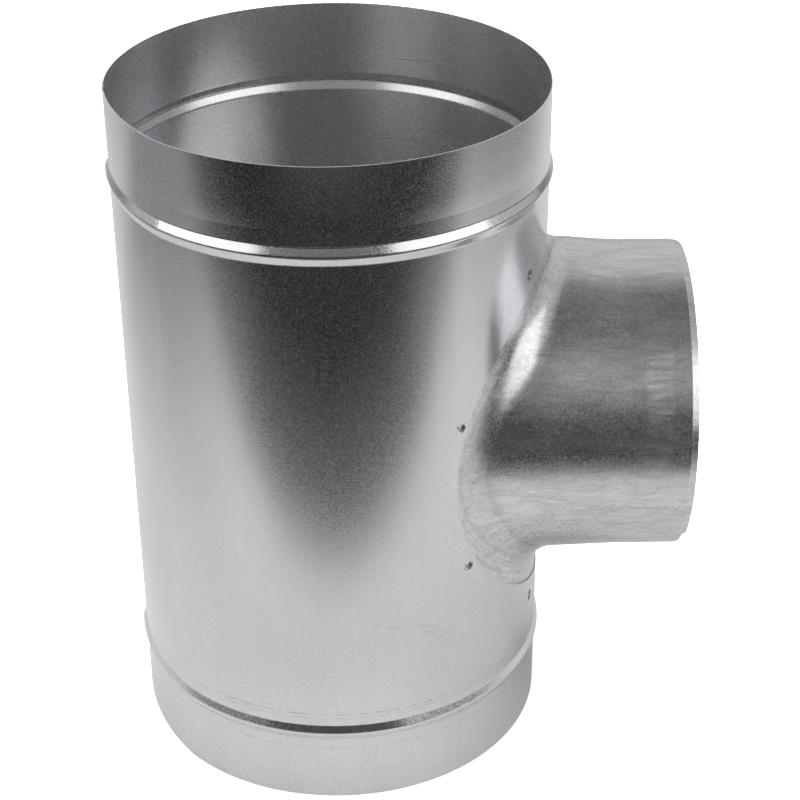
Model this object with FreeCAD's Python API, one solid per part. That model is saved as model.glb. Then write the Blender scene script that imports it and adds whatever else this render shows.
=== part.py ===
import FreeCAD, Part
import math
import os
from FreeCAD import Vector

# Reducing duct tee of galvanised sheet, in millimetres.
# The main tube stands on its bottom rim with its axis on Z, and the branch points along +X.
# The origin is the centre of the bottom rim.

# Main tube
body_diameter = 199.2
body_height = 330.0
body_sheet = 0.5
bead_from_rim = 40.0
bead_width = 9.2
bead_rise = 1.6
bead_blend_radius = 2.0
bead_crest_radius = 2.2

# Lap seam at the back of the tube, where the rolled sheet stays flatter than the round.
# One end of the sheet bends in and runs on to its free edge, and the other end lies under it.
# The angles are round the tube, and each turn is that of its arc.
seam_bend_at = 225.0
seam_bend_radius = 45.0
seam_bend_turn = 7.0
seam_flat_radius = 125.8
seam_flat_turn = 31.8
seam_under_radius = 25.0
seam_overlap = 10.0
seam_gap = 0.15

# Branch
branch_diameter = 147.0
branch_root_diameter = 149.8
branch_reach = 165.0
collar_length = 27.3
throat_ease = 0.15
branch_height = 167.8
branch_sheet = 0.6
lip_width = 3.2
lip_inset = 0.9
trim_step = 1.7
trim_from = 38.0
trim_to = 84.0
trim_corner = 1.2

# Oval hole in the tube, as the height of its middle and its half width and half height on the flat sheet
hole_height = 165.3
hole_half_width = 97.2
hole_half_height = 90.2

# Flange of the branch, under the tube's wall around the hole, and the oval where the drawn neck leaves it
flange_gap = 0.15
flange_margin = 15.0
neck_height = 168.4
neck_half_width = 96.1
neck_half_height = 86.8

# Press joints around the hole, on a circle on the flat sheet.
# Their angles are counted from the tube's front, and are not quite even on the real one.
clinch_circle = 100.6
clinch_angles = (61.7, 18.0, -26.6, -71.3, -116.5, -162.0, 152.0, 106.5)
clinch_radius = 2.6
clinch_depth = 1.3
clinch_wall = 0.35
clinch_gap = 0.1
button_radius = 1.0
button_rise = 0.5

outline_points = 48
join_tolerance = 0.01
body_radius = body_diameter / 2
branch_radius = branch_diameter / 2
collar_start = branch_reach - lip_width - collar_length


def on_sheet(across, height, radius):
    """Point at a place on the flat sheet, measured from the branch's side, at a radius from the tube's axis."""
    azimuth = across / body_radius
    return Vector(radius * math.cos(azimuth), radius * math.sin(azimuth), height)


def arc(centre, radius, first, last):
    """Arc in the XZ plane, with its angles in degrees from +X towards +Z."""
    points = []
    for angle in (first, (first + last) / 2, last):
        turn = math.radians(angle)
        points.append(centre + Vector(radius * math.cos(turn), 0, radius * math.sin(turn)))
    return Part.Arc(*points).toShape()


def closed_curve(points):
    curve = Part.BSplineCurve()
    steps = [i / len(points) for i in range(len(points) + 1)]
    curve.interpolate(Points=points, PeriodicFlag=True, Parameters=steps)
    return curve


def bead_angle():
    """Slope of a bead's flanks, from its width, its rise and its two radii."""
    radii = bead_blend_radius + bead_crest_radius
    run, climb = bead_width / 2, radii - bead_rise
    return math.degrees(math.atan2(-run, -climb) + math.acos(-radii / math.hypot(run, climb)))


def wall_line(inset):
    """Edges of one skin of the tube's wall from the bottom rim to the top one, as a half section."""
    slope = bead_angle()
    edges = []
    last = Vector(body_radius - inset, 0, 0)
    for middle in (bead_from_rim, body_height - bead_from_rim):
        lower = Vector(body_radius + bead_blend_radius, 0, middle - bead_width / 2)
        upper = Vector(body_radius + bead_blend_radius, 0, middle + bead_width / 2)
        crest = Vector(body_radius + bead_rise - bead_crest_radius, 0, middle)
        arcs = [arc(lower, bead_blend_radius + inset, 180, 180 - slope),
                arc(crest, bead_crest_radius - inset, -slope, slope),
                arc(upper, bead_blend_radius + inset, 180 + slope, 180)]
        for piece in arcs:
            edges.append(Part.makeLine(last, piece.valueAt(piece.FirstParameter)))
            edges.append(piece)
            last = piece.valueAt(piece.LastParameter)
    edges.append(Part.makeLine(last, Vector(body_radius - inset, 0, body_height)))
    return edges


def wall_section():
    outside, inside = wall_line(0), wall_line(body_sheet)
    rims = [Part.makeLine(Vector(body_radius, 0, z), Vector(body_radius - body_sheet, 0, z))
            for z in (0, body_height)]
    return Part.Face(Part.Wire(Part.__sortEdges__(outside + inside + rims)))


def direction(angle):
    return Vector(math.cos(math.radians(angle)), math.sin(math.radians(angle)), 0)


def rolled_sheet():
    """The tube before its hole: one sheet that ends in a lap seam, as bends of its section around upright axes."""
    flat_from = seam_bend_at - seam_bend_turn
    free_edge = flat_from - seam_flat_turn
    bend = direction(seam_bend_at) * (body_radius - seam_bend_radius)
    flat = bend + direction(flat_from) * (seam_bend_radius - seam_flat_radius)
    under_radius = seam_flat_radius - body_sheet - seam_gap
    offset = body_radius - seam_under_radius
    reach = under_radius - seam_under_radius
    turn = math.acos((flat.Length ** 2 + offset ** 2 - reach ** 2) / (2 * offset * flat.Length))
    under_at = math.degrees(math.atan2(flat.y, flat.x) + turn)
    under = direction(under_at) * offset
    under_flat_from = math.degrees(math.atan2(under.y - flat.y, under.x - flat.x)) % 360
    under_edge = free_edge + math.degrees(seam_overlap / seam_flat_radius)
    bends = [(flat, seam_flat_radius, free_edge, flat_from),
             (bend, seam_bend_radius, flat_from, seam_bend_at),
             (Vector(0, 0, 0), body_radius, seam_bend_at, under_at + 360),
             (under, seam_under_radius, under_at, under_flat_from),
             (flat, under_radius, under_flat_from, under_edge)]
    section = wall_section()
    sectors = []
    for middle, radius, first, last in bends:
        start = section.copy()
        start.translate(Vector(radius - body_radius, 0, 0))
        start.rotate(Vector(0, 0, 0), Vector(0, 0, 1), first)
        start.translate(middle)
        sectors.append(start.revolve(middle, Vector(0, 0, 1), last - first))
    return sectors[0].multiFuse(sectors[1:])


def oval(middle, half_width, half_height, radius):
    """Points of an oval around a height of its middle, drawn on the flat sheet and wrapped at a radius."""
    points = []
    for i in range(outline_points):
        turn = 2 * math.pi * i / outline_points
        points.append(on_sheet(half_width * math.cos(turn), middle + half_height * math.sin(turn), radius))
    return points


def hole_cutter():
    edge = oval(hole_height, hole_half_width, hole_half_height, body_radius)
    curve = closed_curve([Vector(0, point.y, point.z) for point in edge])
    quarters = [curve.toShape(i / 4, (i + 1) / 4) for i in range(4)]
    return Part.Face(Part.Wire(quarters)).extrude(Vector(body_diameter, 0, 0))


def cup(radius, top, floor_top):
    """A pressed cup around +X, from the sheet's outside down to its floor, with the button inside it."""
    bottom = floor_top - clinch_wall
    shell = Part.makeCylinder(radius + clinch_wall, top - bottom, Vector(bottom, 0, 0), Vector(1, 0, 0))
    inside = Part.makeCylinder(radius, top - floor_top + 1, Vector(floor_top, 0, 0), Vector(1, 0, 0))
    return shell.cut(inside)


def button(floor_top):
    dome_radius = (button_radius ** 2 + button_rise ** 2) / (2 * button_rise)
    dome = Part.makeSphere(dome_radius, Vector(floor_top + button_rise - dome_radius, 0, 0))
    keep = Part.makeCylinder(button_radius, button_rise + clinch_wall / 2,
                             Vector(floor_top - clinch_wall / 2, 0, 0), Vector(1, 0, 0))
    return dome.common(keep)


def at_clinch(shape, angle):
    """Move a shape that was made around +X to its place around the hole."""
    across = -clinch_circle * math.cos(math.radians(angle))
    up = clinch_circle * math.sin(math.radians(angle))
    placed = shape.copy()
    placed.rotate(Vector(0, 0, 0), Vector(0, 0, 1), math.degrees(across / body_radius))
    placed.translate(Vector(0, 0, hole_height + up))
    return placed


def main_tube():
    shape = rolled_sheet().cut(hole_cutter())
    floor_top = body_radius - clinch_depth
    opening = Part.makeCylinder(clinch_radius, 2 * clinch_depth, Vector(floor_top, 0, 0), Vector(1, 0, 0))
    pressed = cup(clinch_radius, body_radius - body_sheet / 4, floor_top).fuse(button(floor_top))
    openings = [at_clinch(opening, angle) for angle in clinch_angles]
    cups = [at_clinch(pressed, angle) for angle in clinch_angles]
    return shape.cut(openings).fuse(cups)


def skin(rows):
    """One skin of the sheet between closed rows of control points, from the first row to the last."""
    curves = [closed_curve(row) for row in rows]
    poles = [curve.getPoles() for curve in curves]
    grid = [list(across) for across in zip(*poles)]
    ends = [len(rows), len(rows)]
    surface = Part.BSplineSurface()
    surface.buildFromPolesMultsKnots(
        grid, curves[0].getMultiplicities(), ends, curves[0].getKnots(), [0.0, 1.0],
        True, False, curves[0].Degree, len(rows) - 1)
    return surface.toShape()


def downhill(point, target):
    """Step along the flat sheet from one point of the flange to another, as a vector in space."""
    radius = math.hypot(point.x, point.y)
    step = radius * (math.atan2(target.y, target.x) - math.atan2(point.y, point.x))
    return Vector(-point.y / radius * step, point.x / radius * step, target.z - point.z)


def saddle_rows(inset):
    """Control rows of one skin of the branch piece, from the edge of the flange to the start of its collar."""
    tube_radius = body_radius - body_sheet - flange_gap - inset
    root_radius = branch_root_diameter / 2 - inset
    edge = oval(hole_height, hole_half_width + flange_margin, hole_half_height + flange_margin, tube_radius)
    foot = oval(neck_height, neck_half_width, neck_half_height, tube_radius)
    forward = Vector(1, 0, 0)
    flange, neck, throat = [[], [], [], []], [[], [], [], []], [[], [], [], []]
    for outer, point in zip(edge, foot):
        flange[0].append(outer)
        flange[1].append(outer + downhill(outer, point) / 3)
        flange[2].append(point + downhill(point, outer) / 3)
        flange[3].append(point)
        side, up = point.y, point.z - neck_height
        distance = math.hypot(side, up)
        out = Vector(0, side / distance, up / distance)
        slope = side * side / distance / point.x
        corner = Vector(point.x + (distance - root_radius) * slope, 0, neck_height) + out * root_radius
        reach = (corner - point).Length
        turn = (corner - point).getAngle(forward)
        handle = 4 / 3 * math.tan(turn / 4) / math.tan(turn / 2)
        root = corner + forward * reach
        neck[0].append(point)
        neck[1].append(point + (corner - point) * handle)
        neck[2].append(root + (corner - root) * handle)
        neck[3].append(root)
        collar = Vector(collar_start, 0, branch_height) + out * (branch_radius - inset)
        handle = (collar_start - root.x) * throat_ease
        throat[0].append(root)
        throat[1].append(root + forward * handle)
        throat[2].append(collar - forward * handle)
        throat[3].append(collar)
    return [flange, neck, throat]


def collar():
    """Round part of the branch, from the start of its collar to the mouth."""
    line_at = branch_reach - lip_width
    profile = [(collar_start, 0), (line_at, 0), (branch_reach, -lip_inset),
               (branch_reach, -lip_inset - branch_sheet), (line_at, -branch_sheet), (collar_start, -branch_sheet)]
    points = [Vector(x, branch_radius + step, branch_height) for x, step in profile]
    section = Part.Face(Part.makePolygon(points + points[:1]))
    return section.revolve(Vector(0, 0, branch_height), Vector(1, 0, 0), 360)


def trim_notch():
    """Cutter for the stretch where the mouth's edge was trimmed shorter."""
    shallow = branch_reach - trim_step
    sweep = trim_to - trim_from
    piece = Part.makeCylinder(branch_diameter, 2 * trim_step, Vector(0, 0, 0), Vector(0, 0, 1), sweep)
    corners = [edge for edge in piece.Edges
               if edge.Length > branch_radius and edge.BoundBox.ZMax < trim_step
               and edge.Curve.TypeId == "Part::GeomLine"]
    piece = piece.makeFillet(trim_corner, corners)
    piece.rotate(Vector(0, 0, 0), Vector(0, 0, 1), trim_from)
    piece.transformShape(FreeCAD.Matrix(0, 0, 1, 0, -1, 0, 0, 0, 0, -1, 0, 0, 0, 0, 0, 1))
    piece.translate(Vector(shallow, 0, branch_height))
    return piece


def branch_saddle():
    outside, inside = saddle_rows(0), saddle_rows(branch_sheet)
    faces = [skin(rows) for rows in outside + inside]
    faces += [skin([outside[i][i], inside[i][i]]) for i in (0, -1)]
    shell = Part.makeShell(faces)
    shell.sewShape()
    neck = Part.makeSolid(shell)
    if neck.Volume < 0:
        neck.reverse()
    sheet = neck.multiFuse([collar()], join_tolerance)
    floor_top = body_radius - clinch_depth - clinch_wall
    hole_radius = clinch_radius + clinch_wall + clinch_gap
    opening = Part.makeCylinder(hole_radius, 2 * clinch_depth, Vector(floor_top, 0, 0), Vector(1, 0, 0))
    flange_middle = body_radius - body_sheet - flange_gap - branch_sheet / 2
    pressed = cup(hole_radius, flange_middle, floor_top)
    openings = [at_clinch(opening, angle) for angle in clinch_angles]
    cups = [at_clinch(pressed, angle) for angle in clinch_angles]
    return sheet.cut(openings + [trim_notch()]).fuse(cups)


os.makedirs("parts", exist_ok=True)
for name, shape in (("main_tube", main_tube()), ("branch_saddle", branch_saddle())):
    solid = shape.Solids[0]
    print(name, len(shape.Solids), solid.isValid(), round(solid.Volume), solid.BoundBox)
    solid.exportStep("parts/" + name + ".step")
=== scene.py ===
import math

import bmesh
import bpy
from mathutils import Matrix, Vector


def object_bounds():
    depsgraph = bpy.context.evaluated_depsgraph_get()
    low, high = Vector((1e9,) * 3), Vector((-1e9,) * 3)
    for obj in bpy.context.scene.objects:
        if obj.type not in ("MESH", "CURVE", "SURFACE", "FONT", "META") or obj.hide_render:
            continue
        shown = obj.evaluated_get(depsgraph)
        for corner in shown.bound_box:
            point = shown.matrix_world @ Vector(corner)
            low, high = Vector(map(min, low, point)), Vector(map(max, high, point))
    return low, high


# Looks of the duct tee, in metres and radians, in the CAD frame: the tube's axis is Z, the branch points
# along +X and the photograph's camera stands toward -Y.

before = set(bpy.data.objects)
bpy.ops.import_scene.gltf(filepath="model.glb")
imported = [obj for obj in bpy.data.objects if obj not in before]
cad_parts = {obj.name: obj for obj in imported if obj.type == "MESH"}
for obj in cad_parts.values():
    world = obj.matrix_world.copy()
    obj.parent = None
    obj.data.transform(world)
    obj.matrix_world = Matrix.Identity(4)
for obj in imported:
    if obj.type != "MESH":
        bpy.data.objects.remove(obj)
cad_low, cad_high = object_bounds()

# Places on the part that the looks follow
tube_top = cad_high[2]
bead_inset = 0.04
upper_bead = tube_top - bead_inset
lower_bead = bead_inset
branch_axis = 0.1678
branch_mouth = cad_high[0]

# The grain of both sheets, in features per metre, and its height
grain_noise = dict(scale=(1200.0, 1200.0, 1200.0), roughness=0.6)
grain_height = 0.00004


def new_material(name):
    material = bpy.data.materials.new(name)
    material.use_nodes = True
    nodes = material.node_tree.nodes
    nodes.clear()
    output = nodes.new("ShaderNodeOutputMaterial")
    shader = nodes.new("ShaderNodeBsdfPrincipled")
    material.node_tree.links.new(shader.outputs[0], output.inputs["Surface"])
    return material, shader


def maths(owner, kind, *values):
    """One maths node over values that are each a number or another node's output."""
    tree = owner.node_tree
    node = tree.nodes.new("ShaderNodeMath")
    node.operation = kind
    for place, value in enumerate(values):
        if isinstance(value, (int, float)):
            node.inputs[place].default_value = value
        else:
            tree.links.new(value, node.inputs[place])
    return node.outputs[0]


def product(owner, first, *others):
    for other in others:
        first = maths(owner, "MULTIPLY", first, other)
    return first


def total(owner, first, *others):
    for other in others:
        first = maths(owner, "ADD", first, other)
    return first


def rest_of(owner, share):
    """One less the share."""
    return maths(owner, "SUBTRACT", 1.0, share)


def distance(owner, *lengths):
    squares = [maths(owner, "MULTIPLY", length, length) for length in lengths]
    return maths(owner, "SQRT", total(owner, *squares))


def ramp(owner, value, start, end, low=0.0, high=1.0, smooth=True):
    """Map a value's range from start to end onto low to high."""
    tree = owner.node_tree
    node = tree.nodes.new("ShaderNodeMapRange")
    node.interpolation_type = "SMOOTHSTEP" if smooth else "LINEAR"
    for name, setting in (("From Min", start), ("From Max", end), ("To Min", low), ("To Max", high)):
        node.inputs[name].default_value = setting
    tree.links.new(value, node.inputs["Value"])
    return node.outputs["Result"]


def spread(owner, noise, low, high, start=0.3, end=0.7):
    """Map a noise value around a half to the range from low to high."""
    return ramp(owner, noise, start, end, low, high, smooth=False)


def blend(owner, share, without, within):
    """The first number where the share is nothing and the second where it is one."""
    return ramp(owner, share, 0.0, 1.0, without, within, smooth=False)


def stripe(owner, value, middle, half_width, soft):
    """One inside a band around the middle, falling to nothing over the soft width."""
    off = maths(owner, "ABSOLUTE", maths(owner, "SUBTRACT", value, middle))
    return ramp(owner, off, half_width, half_width + soft, 1.0, 0.0)


def axes_of(owner, output):
    """The three parts of one of the texture coordinates."""
    tree = owner.node_tree
    coordinates = tree.nodes.new("ShaderNodeTexCoord")
    split = tree.nodes.new("ShaderNodeSeparateXYZ")
    tree.links.new(coordinates.outputs[output], split.inputs[0])
    return split.outputs["X"], split.outputs["Y"], split.outputs["Z"]


def scaled_noise(owner, scale, detail, roughness=0.5, distortion=0.0):
    """Noise over the object's own coordinates, with its own scale along each axis, in features per metre."""
    nodes, links = owner.node_tree.nodes, owner.node_tree.links
    coordinates = nodes.new("ShaderNodeTexCoord")
    mapping = nodes.new("ShaderNodeMapping")
    mapping.inputs["Scale"].default_value = scale
    noise = nodes.new("ShaderNodeTexNoise")
    noise.inputs["Scale"].default_value = 1.0
    noise.inputs["Detail"].default_value = detail
    noise.inputs["Roughness"].default_value = roughness
    noise.inputs["Distortion"].default_value = distortion
    links.new(coordinates.outputs["Object"], mapping.inputs["Vector"])
    links.new(mapping.outputs["Vector"], noise.inputs["Vector"])
    return noise.outputs["Fac"]


def noise_along(owner, value, scale, detail):
    """Noise along one value alone, in features per metre of it."""
    noise = owner.node_tree.nodes.new("ShaderNodeTexNoise")
    noise.noise_dimensions = "1D"
    noise.inputs["Scale"].default_value = scale
    noise.inputs["Detail"].default_value = detail
    owner.node_tree.links.new(value, noise.inputs["W"])
    return noise.outputs["Fac"]


def tinted(owner, value, colour):
    node = owner.node_tree.nodes.new("ShaderNodeMix")
    node.data_type = "RGBA"
    node.blend_type = "MULTIPLY"
    node.inputs["Factor"].default_value = 1.0
    node.inputs["A"].default_value = (*colour, 1.0)
    owner.node_tree.links.new(value, node.inputs["B"])
    return node.outputs["Result"]


def raised(owner, height, depth, strength, normal=None):
    bump = owner.node_tree.nodes.new("ShaderNodeBump")
    bump.inputs["Strength"].default_value = strength
    bump.inputs["Distance"].default_value = depth
    owner.node_tree.links.new(height, bump.inputs["Height"])
    if normal:
        owner.node_tree.links.new(normal, bump.inputs["Normal"])
    return bump.outputs["Normal"]


def metal(name, build):
    """A metal whose tone, colour, roughness, normal and share of metal come from a looks function."""
    material, shader = new_material(name)
    tone, colour, rough, normal, metallic = build(material)
    links = material.node_tree.links
    links.new(tinted(material, tone, colour), shader.inputs["Base Color"])
    links.new(rough, shader.inputs["Roughness"])
    links.new(normal, shader.inputs["Normal"])
    if isinstance(metallic, float):
        shader.inputs["Metallic"].default_value = metallic
    else:
        links.new(metallic, shader.inputs["Metallic"])
    return material


# The tube's sheet: each form of noise, in features per metre, and what it does to the tone
tube_colour = (0.68, 0.69, 0.705)
tube_grain_detail = 1.0
tube_grain_tone = (0.905, 1.085)
tube_grain_strength = 0.5
streak_noise = dict(scale=(650.0, 650.0, 28.0), detail=3.0)
streak_tone = (0.98, 1.018)
tube_cloud_noise = dict(scale=(30.0, 30.0, 14.0), detail=4.0)
tube_cloud_tone = (0.96, 1.03)
break_noise = dict(scale=(260.0, 260.0, 60.0), detail=3.0, roughness=0.7)
break_range = (0.42, 0.6)
tube_roughness = 0.11
outer_speck_roughness, inner_speck_roughness = 0.15, 0.07

# The wall inside is duller, so some of its light is scattered, and its tone is lowered a little as painted
# shade of the deep inside. The side is told by how far the normal points away from the axis.
outer_softness = 0.01
inner_painted_shade_tone, inner_metallic, inner_roughness = 0.95, 0.95, 0.1

# Roller marks beside the beads: each one's height and how much it darkens
mark_half_width = 0.0002
roller_marks = ((upper_bead + 0.0109, 0.15), (lower_bead + 0.0107, 0.35),
                (lower_bead + 0.0085, 0.2), (lower_bead - 0.0093, 0.22))

# Scratches: the angles about the axis of both ends, the heights there and half the width
scratch_fade = 0.06
scuff_lines = (((0.16, 0.6), (0.1026, 0.0855), 0.0004), ((0.33, 0.52), (0.0985, 0.0925), 0.0003))
scuff_tone = 0.86
long_arc = ((0.18, 0.96), (0.2597, 0.2597), 0.0002)
long_arc_bow = 0.0111
short_arc = ((0.26, 0.74), (0.3024, 0.3057), 0.0002)
arc_roughness = 0.12

# The top ends of the two lapped sheets are darkened as painted shade of the gap between them: the angle of
# the lap's middle, half its angle and how softly it ends, and the heights where the painted shade starts and
# is full
lap_angle, lap_half_angle, lap_softness = -1.49, 0.055, 0.01
lap_start, lap_full = tube_top - 0.0007, tube_top - 0.0003
lap_gap_shade_tone = 0.15

# Above the upper bead the wall draws in a little
hollow_start, hollow_end = upper_bead + 0.0112, upper_bead + 0.021
hollow_depth = 0.00014


def scratch(owner, turned, up, ends, heights, half_width):
    """A thin line on the tube between two angles about its axis, through the heights at its ends."""
    slope = (heights[1] - heights[0]) / (ends[1] - ends[0])
    course = total(owner, product(owner, turned, slope), heights[0] - slope * ends[0])
    inside = stripe(owner, turned, sum(ends) / 2, (ends[1] - ends[0]) / 2 - scratch_fade, scratch_fade)
    line = stripe(owner, maths(owner, "SUBTRACT", up, course), 0.0, half_width, half_width)
    return product(owner, inside, line)


def tube_looks(owner):
    """The tone, colour, roughness, normal and share of metal of the tube's sheet."""
    across, along, up = axes_of(owner, "Object")
    facing_across, facing_along, _ = axes_of(owner, "Normal")
    outward = total(owner, product(owner, across, facing_across), product(owner, along, facing_along))
    outer = ramp(owner, outward, -outer_softness, outer_softness)
    inner = rest_of(owner, outer)
    turned = maths(owner, "ARCTAN2", across, product(owner, along, -1.0))
    turned_back = maths(owner, "ARCTAN2", across, along)

    grain = scaled_noise(owner, detail=tube_grain_detail, **grain_noise)
    streaks = scaled_noise(owner, **streak_noise)
    cloud = scaled_noise(owner, **tube_cloud_noise)
    broken = ramp(owner, scaled_noise(owner, **break_noise), *break_range, smooth=False)

    # Scuffs low on the front, and two arcs rubbed on the far wall inside
    scuffs = product(owner, broken, outer, total(
        owner, *[scratch(owner, turned, up, *line) for line in scuff_lines]))
    bowed = maths(owner, "SUBTRACT", up, product(owner, turned_back, turned_back, long_arc_bow))
    arcs = product(owner, inner, total(
        owner, scratch(owner, turned_back, bowed, *long_arc), scratch(owner, turned_back, up, *short_arc)))
    # Painted shade: the lap's top ends are darkened to stand for the shadowed gap between the two sheets
    lap_gap_shade = product(owner, stripe(owner, turned, lap_angle, lap_half_angle, lap_softness),
                  ramp(owner, up, lap_start, lap_full))

    # Painted shade: the inside wall's tone is lowered a little
    tone = product(owner, spread(owner, grain, *tube_grain_tone), spread(owner, streaks, *streak_tone),
                   spread(owner, cloud, *tube_cloud_tone), blend(owner, inner, 1.0, inner_painted_shade_tone),
                   blend(owner, scuffs, 1.0, scuff_tone), blend(owner, lap_gap_shade, 1.0, lap_gap_shade_tone))
    for height, depth in roller_marks:
        mark = product(owner, stripe(owner, up, height, mark_half_width, mark_half_width), broken, outer)
        tone = product(owner, tone, rest_of(owner, product(owner, mark, depth)))

    specks = spread(owner, grain, 0.0, 1.0)
    speck_roughness = blend(owner, inner, outer_speck_roughness, inner_speck_roughness)
    rough = total(owner, product(owner, specks, speck_roughness), tube_roughness,
                  product(owner, inner, inner_roughness), product(owner, arcs, arc_roughness))

    hollow = ramp(owner, up, hollow_start, hollow_end, 1.0, 0.0, smooth=False)
    normal = raised(owner, product(owner, hollow, hollow, -hollow_depth, outer), 1.0, 1.0)
    normal = raised(owner, grain, grain_height, tube_grain_strength, normal)
    return tone, tube_colour, rough, normal, blend(owner, inner, 1.0, inner_metallic)


# The saddle's sheet: each form of noise, in features per metre, and what it does to the tone
saddle_colour = (0.67, 0.678, 0.692)
saddle_grain_detail = 2.0
saddle_grain_tone = (0.94, 1.05)
saddle_grain_strength = 0.4
drawn_noise = dict(scale=(70.0, 420.0, 420.0), detail=4.0, roughness=0.6, distortion=0.4)
drawn_tone = (0.85, 1.1)
drawn_share = (0.3, 1.0)
drawn_height = 0.00005
drawn_strength = 0.35
saddle_cloud_noise = dict(scale=(28.0, 45.0, 45.0), detail=4.0, roughness=0.6)
saddle_cloud_tone = (0.9, 1.08)
saddle_cloud_roughness = (-0.03, 0.06)
saddle_roughness = 0.225
saddle_speck_range = (0.42, 0.68)
saddle_speck_roughness = 0.12

# Fine wave lines, where a slow noise passes a half
wave_noise = dict(scale=(30.0, 75.0, 75.0), detail=5.0, roughness=0.6, distortion=1.2)
wave_half_width, wave_softness, wave_depth = 0.004, 0.02, 0.22

# Rings about the branch's axis on the flange, which end where the neck begins
ring_noise = dict(scale=600.0, detail=2.0)
ring_tone = (-0.1, 0.07)
ring_full, ring_end = 0.095, 0.118

# The band worn by the tool near the mouth, and a brighter patch high on its front
worn_place, worn_half_width, worn_softness = branch_mouth - 0.0175, 0.0045, 0.003
worn_wander = (-0.0012, 0.0012)
worn_roughness = 0.03
patch_low = (branch_axis + 0.0142, branch_axis + 0.0402)
patch_high = (branch_axis + 0.0462, branch_axis + 0.0582)
patch_front = (0.0, -0.03)
patch_share = (0.4, 1.0)
patch_range = (0.4, 0.6)
patch_gain = 0.3
patch_roughness = 0.1

# Two pinholes, one on the flange and one under the branch's root
pinholes = ((0.0631, -0.0776, 0.1653), (0.0977, -0.0645, 0.1326))
pinhole_radius, pinhole_edge, pinhole_depth = 0.0003, 0.0006, 0.6


def saddle_looks(owner):
    """The tone, colour, roughness, normal and share of metal of the saddle's sheet."""
    axes = axes_of(owner, "Object")
    across, along, up = axes
    grain = scaled_noise(owner, detail=saddle_grain_detail, **grain_noise)
    drawn = scaled_noise(owner, **drawn_noise)
    cloud = scaled_noise(owner, **saddle_cloud_noise)
    uneven = spread(owner, drawn, *drawn_share)
    wave = stripe(owner, scaled_noise(owner, **wave_noise), 0.5, wave_half_width, wave_softness)
    wave = product(owner, wave, wave_depth, uneven)

    from_axis = distance(owner, along, maths(owner, "SUBTRACT", up, branch_axis))
    rings = spread(owner, noise_along(owner, from_axis, **ring_noise), *ring_tone)
    rings = product(owner, rings, ramp(owner, across, ring_full, ring_end, 1.0, 0.0))

    edge = total(owner, across, spread(owner, cloud, *worn_wander))
    worn = product(owner, stripe(owner, edge, worn_place, worn_half_width, worn_softness), uneven)
    patch = product(owner, worn, ramp(owner, up, *patch_low), ramp(owner, up, *patch_high, 1.0, 0.0),
                    ramp(owner, along, *patch_front), spread(owner, drawn, *patch_share, *patch_range))

    holes = []
    for centre in pinholes:
        off = [maths(owner, "SUBTRACT", axis, place) for axis, place in zip(axes, centre)]
        holes.append(ramp(owner, distance(owner, *off), pinhole_radius, pinhole_edge, pinhole_depth, 0.0))

    tone = product(owner, spread(owner, grain, *saddle_grain_tone), spread(owner, drawn, *drawn_tone),
                   spread(owner, cloud, *saddle_cloud_tone), total(owner, rings, 1.0),
                   rest_of(owner, wave), rest_of(owner, total(owner, *holes)),
                   total(owner, product(owner, patch, patch_gain), 1.0))
    specks = ramp(owner, grain, *saddle_speck_range)
    rough = total(owner, product(owner, specks, saddle_speck_roughness), saddle_roughness,
                  spread(owner, cloud, *saddle_cloud_roughness),
                  product(owner, patch, patch_roughness), product(owner, worn, worn_roughness))
    normal = raised(owner, drawn, drawn_height, drawn_strength)
    normal = raised(owner, grain, grain_height, saddle_grain_strength, normal)
    return tone, saddle_colour, rough, normal, 1.0


for node, name, looks in (("main_tube", "tube_sheet", tube_looks),
                          ("branch_saddle", "saddle_sheet", saddle_looks)):
    sheet = metal(name, looks)
    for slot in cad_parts[node].material_slots:
        slot.material = sheet


# Stage
floor_half = 4.0
floor_grey = 0.85
card_lift = 0.001
card_grey = 0.002
backdrop_radius = 2.4
ball_segments, ball_rings = 48, 24


def put(name, data):
    """Add an object with the given mesh, lamp or lens to the scene."""
    thing = bpy.data.objects.new(name, data)
    bpy.context.scene.collection.objects.link(thing)
    return thing


def staged(name, mesh, material):
    """Add a mesh with the given material to the scene."""
    mesh.materials.append(material)
    thing = put(name, mesh)
    return thing


def card(name, height, material):
    """A level square as large as the floor."""
    mesh = bpy.data.meshes.new(name)
    corners = [(x, y, height) for x, y in ((-floor_half, -floor_half), (floor_half, -floor_half),
                                           (floor_half, floor_half), (-floor_half, floor_half))]
    mesh.from_pydata(corners, [], [(0, 1, 2, 3)])
    return staged(name, mesh, material)


def ball(name, radius, material):
    mesh = bpy.data.meshes.new(name)
    shell = bmesh.new()
    bmesh.ops.create_uvsphere(shell, u_segments=ball_segments, v_segments=ball_rings, radius=radius)
    shell.to_mesh(mesh)
    shell.free()
    return staged(name, mesh, material)


def matte(name, grey):
    """A material of one grey that doesn't shine."""
    material, shader = new_material(name)
    shader.inputs["Base Color"].default_value = (grey, grey, grey, 1.0)
    shader.inputs["Roughness"].default_value = 1.0
    shader.inputs["Specular IOR Level"].default_value = 0.0
    return material, shader


def only_seen(thing, camera, reflections):
    """Hide a thing from all rays but the camera's or the reflections'."""
    thing.visible_camera = camera
    thing.visible_glossy = reflections
    thing.visible_diffuse = False
    thing.visible_shadow = False
    thing.visible_transmission = False


card("floor", 0.0, matte("pale_floor", floor_grey)[0])

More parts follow.
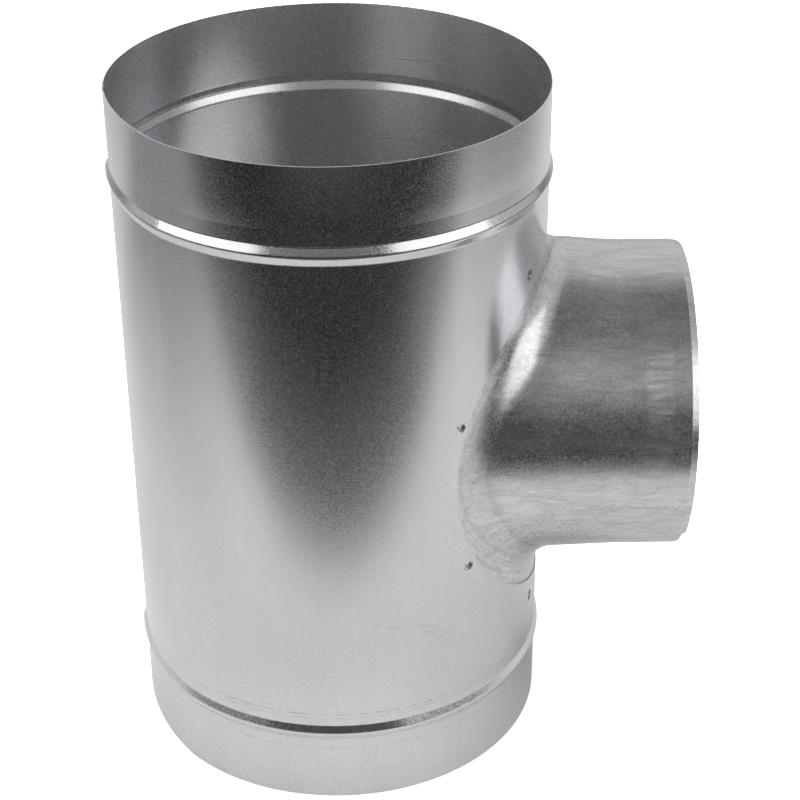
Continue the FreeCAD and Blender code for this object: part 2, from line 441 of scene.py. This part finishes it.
# A dark card on the floor that only reflections see: it fades in ahead of the tube and to its sides. Starts
# and ends are distances from the tube's axis, and a depth is how dark the card gets, from 0 to 1.
front_start, front_end, front_first, front_beside = 0.242, 0.37, 0.82, 0.64
tail_start, tail_end, front_depth = 0.34, 0.56, 0.97
front_half, front_edge, front_bow = 0.22, 0.46, 0.012
front_far_start, front_far_end, front_far_share = 0.75, 1.1, 0.8
left_start, left_end, left_depth = 0.18, 0.7, 0.6
left_back_start, left_back_end, left_back_share = 0.3, 0.5, 0.35
right_start, right_end, right_depth = 0.4, 1.0, 0.65
right_back_start, right_back_end, right_back_share = 0.3, 0.8, 0.4
inner_end, near_start, inner_depth, near_depth = 0.085, 0.099, 0.931, 0.626
far_start, far_end, far_depth = 0.11, 0.22, 0.2


def card_shade(owner):
    """How dark the card is at each place."""
    across, along, _ = axes_of(owner, "Object")
    away = distance(owner, across, along)
    beside = maths(owner, "ABSOLUTE", across)
    reach = total(owner, along, ramp(owner, beside, 0.0, front_half, 0.0, front_bow))
    first = ramp(owner, beside, front_half, front_edge, front_first, front_beside)
    second = maths(owner, "SUBTRACT", front_depth, first)
    front = total(owner, product(owner, first, ramp(owner, reach, -front_start, -front_end)),
                  product(owner, second, ramp(owner, reach, -tail_start, -tail_end)))
    front = product(owner, front, ramp(owner, along, -front_far_start, -front_far_end, 1.0, front_far_share))
    left = product(owner, ramp(owner, across, -left_start, -left_end, 0.0, left_depth),
                   ramp(owner, along, left_back_start, left_back_end, 1.0, left_back_share))
    right = product(owner, ramp(owner, across, right_start, right_end, 0.0, right_depth),
                    ramp(owner, along, right_back_start, right_back_end, 1.0, right_back_share))
    near = ramp(owner, away, inner_end, near_start, inner_depth, near_depth)
    far = ramp(owner, away, far_start, far_end, 0.0, far_depth)
    clear = product(owner, *[rest_of(owner, share) for share in (front, left, right, near, far)])
    return rest_of(owner, clear)


dark, dark_shader = matte("dark_card", card_grey)
dark.node_tree.links.new(card_shade(dark), dark_shader.inputs["Alpha"])
only_seen(card("dark_card", card_lift, dark), camera=False, reflections=True)

# A white backdrop that only the camera sees, so that no view shows the floor's far edge
white, white_shader = matte("backdrop", 0.0)
white_shader.inputs["Emission Color"].default_value = (1.0, 1.0, 1.0, 1.0)
white_shader.inputs["Emission Strength"].default_value = 1.0
white.cycles.emission_sampling = "NONE"
only_seen(ball("backdrop", backdrop_radius, white), camera=True, reflections=False)

# Lamps, in metres and watts: two for the floor alone, which the metal doesn't mirror, and two soft boxes to
# the left and the right, which light the beads, the neck and the lip
floor_lamp_size = (2.0, 2.0)
floor_lamp_place = (0.0, 0.0, 2.2)
floor_target = (0.0, 0.0, 0.0)
floor_lamps = (("floor_fill", 120.0, True), ("floor_lift", 74.0, False))
soft_boxes = (("left_box", (1.43, 1.0), (-1.161, -0.617, 0.729), 5.2),
              ("right_box", (1.3, 1.0), (1.114, -0.751, 0.661), 4.9))
box_target = (0.0, 0.0, 0.25)


def soft_light(name, size, place, target, power):
    lamp = bpy.data.lights.new(name, "AREA")
    lamp.shape = "RECTANGLE"
    lamp.size, lamp.size_y = size
    lamp.energy = power
    thing = put(name, lamp)
    thing.location = place
    thing.rotation_mode = "QUATERNION"
    thing.rotation_quaternion = (Vector(target) - Vector(place)).to_track_quat("-Z", "Y")
    return thing


for name, power, shadows in floor_lamps:
    fill = soft_light(name, floor_lamp_size, floor_lamp_place, floor_target, power)
    fill.visible_glossy = False
    fill.data.use_shadow = shadows
for name, size, place, power in soft_boxes:
    soft_light(name, size, place, box_target, power)

# Sky: dim ahead and overhead, bright to the sides, paler behind. Starts and ends are angles from straight
# ahead, or heights on a sphere of radius one.
front_sky, side_sky, back_sky, top_sky = 0.34, 0.55, 0.7, 0.18
side_sky_start, side_sky_end = 0.45, 0.85
back_sky_start, back_sky_end = 2.0, 2.5
top_sky_start, top_sky_end = 0.78, 0.93
horizon_start, horizon_end, horizon_north, horizon_dimming = 0.05, 0.6, -0.9, 0.85


def sky_strength(owner):
    east, north, up = axes_of(owner, "Generated")
    turned = maths(owner, "ABSOLUTE", maths(owner, "ARCTAN2", east, product(owner, north, -1.0)))
    to_sides = ramp(owner, turned, side_sky_start, side_sky_end, front_sky, side_sky)
    to_back = ramp(owner, turned, back_sky_start, back_sky_end, 0.0, back_sky - side_sky)
    # Toward the horizon the sky ahead is dimmer
    ahead = ramp(owner, north, 0.0, horizon_north, 0.0, horizon_dimming)
    low_down = ramp(owner, up, horizon_start, horizon_end, 1.0, 0.0)
    around = product(owner, total(owner, to_sides, to_back), rest_of(owner, product(owner, ahead, low_down)),
                     ramp(owner, up, top_sky_start, top_sky_end, 1.0, 0.0))
    return total(owner, around, ramp(owner, up, top_sky_start, top_sky_end, 0.0, top_sky))


world = bpy.data.worlds.new("studio")
world.use_nodes = True
background = world.node_tree.nodes["Background"]
world.node_tree.links.new(sky_strength(world), background.inputs["Strength"])
background.inputs["Color"].default_value = (1.0, 1.0, 1.0, 1.0)
bpy.context.scene.world = world
bpy.context.scene.view_settings.view_transform = "Standard"

# Camera, as solved from the rims, the beads and the branch's outline in the photo
camera_distance = 0.82977
camera_height = 0.64770
camera_turn = 0.0376
camera_tilt = 0.5280
camera_roll = -0.0055
camera_focal_px = 1977.9
image_px = 800
sensor_mm = 36.0
near_clip, far_clip = 0.01, 50.0
branch_turn = -0.0264

ahead = Vector((math.sin(camera_turn) * math.cos(camera_tilt), math.cos(camera_turn) * math.cos(camera_tilt),
                -math.sin(camera_tilt)))
level = Vector((math.cos(camera_turn), -math.sin(camera_turn), 0))
upright = level.cross(ahead)
side = math.cos(camera_roll) * level + math.sin(camera_roll) * upright
above = math.cos(camera_roll) * upright - math.sin(camera_roll) * level
placed = Matrix((side, above, -ahead)).transposed().to_4x4()
placed.translation = Vector((0, -camera_distance, camera_height))
lens = bpy.data.cameras.new("camera")
lens.sensor_width = sensor_mm
lens.lens = camera_focal_px / image_px * sensor_mm
lens.clip_start, lens.clip_end = near_clip, far_clip
camera = put("camera", lens)
camera.matrix_world = Matrix.Rotation(-branch_turn, 4, "Z") @ placed
bpy.context.scene.camera = camera
